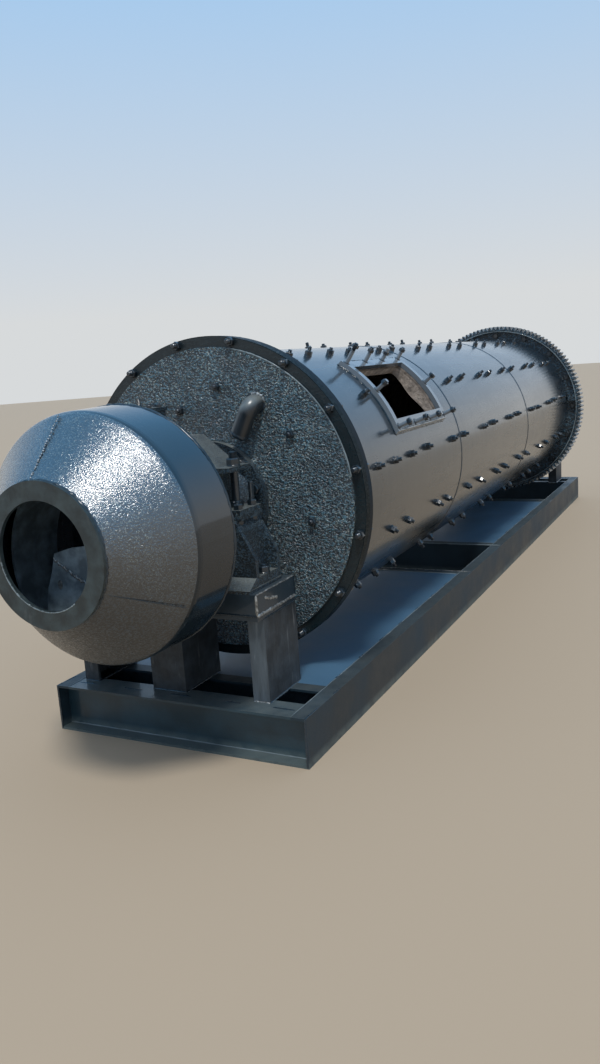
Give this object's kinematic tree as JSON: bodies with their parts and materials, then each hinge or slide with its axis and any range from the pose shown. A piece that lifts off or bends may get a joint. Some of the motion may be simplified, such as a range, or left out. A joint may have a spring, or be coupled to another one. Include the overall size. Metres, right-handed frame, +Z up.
{
  "type": "ball mill",
  "caption": "Horizontal ball mill on a skid of channels: black shell with open manhole and liner bolts, toothed girth gear at the discharge end and a double-cone drum feeder at the feed end.",
  "frame": {"origin": "middle of the floor outline, at ground level under the mill axis", "axes": "+Y along the mill axis from the feed end to the discharge end, +Z up, +X to the side the manhole opens on"},
  "size_m": [1.792, 8.009, 2.0158],
  "materials": {
    "bearing_black": "gloss black paint over cast iron",
    "bush_bronze": "machined, oiled",
    "feeder_black": "thick gloss black paint with an orange-peel surface",
    "feeder_inside": "dull black paint",
    "flange_black": "gloss black paint",
    "floor_black": "gloss black paint over rolled plate",
    "gear_black": "black paint over cast steel teeth",
    "head_black": "thick gloss black paint over a coarse casting",
    "liner_rust": "brown rust over cast liner",
    "manhole_black": "black paint, brushed on",
    "mouth_grey": "dull grey black paint over flame-cut plate",
    "pedestal_black": "black paint with bright weld beads",
    "post_grey": "thin black paint over mill scale",
    "shell_black": "high-gloss black paint",
    "skid_black": "gloss black paint, brushed on",
    "trunnion_steel": "machined, oiled"
  },
  "bodies": {
    "skid": {"rail_right": "skid_black", "rail_left": "skid_black", "front_channels": "skid_black", "feed_channel": "skid_black", "pit_front_channel": "skid_black", "pit_rear_channel": "skid_black", "gear_front_channels": "skid_black", "discharge_channel": "skid_black", "end_channels": "skid_black", "floor_plate_feed": "floor_black", "floor_plate_middle": "floor_black", "feed_post_right": "post_grey", "feed_post_middle": "post_grey", "feed_post_left": "post_grey", "feed_pedestal_plate": "pedestal_black", "feed_pedestal_channels": "pedestal_black", "feed_bearing_base": "bearing_black", "feed_bearing_cap": "bearing_black", "feed_bearing_bush": "bush_bronze", "discharge_post_right": "post_grey", "discharge_post_middle": "post_grey", "discharge_post_left": "post_grey", "discharge_pedestal_plate": "pedestal_black", "discharge_pedestal_channels": "pedestal_black", "discharge_bearing_base": "bearing_black", "discharge_bearing_cap": "bearing_black", "discharge_bearing_bush": "bush_bronze"},
    "drum": {"feeder_mouth_ring": "mouth_grey", "feeder_front_cone": "feeder_black", "feeder_band": "feeder_black", "feeder_rear_cone": "feeder_black", "feeder_partition": "feeder_inside", "feeder_spiral": "feeder_inside", "feed_trunnion": "trunnion_steel", "feed_head": "head_black", "lifting_horn": "head_black", "feed_shell_flange": "flange_black", "shell_course_feed": "shell_black", "shell_course_middle": "shell_black", "shell_course_discharge": "shell_black", "wave_liner": "liner_rust", "manhole_frame": "manhole_black", "discharge_shell_flange": "flange_black", "gear_half_upper": "gear_black", "gear_half_lower": "gear_black", "discharge_head": "head_black", "discharge_trunnion": "trunnion_steel"}
  },
  "joints": [
    {"name": "drum_spin", "type": "hinge", "parent": "skid", "child": "drum", "pos_m": [0, -3.0245, 1.12], "axis": [0, 1, 0], "continuous": true}
  ]
}
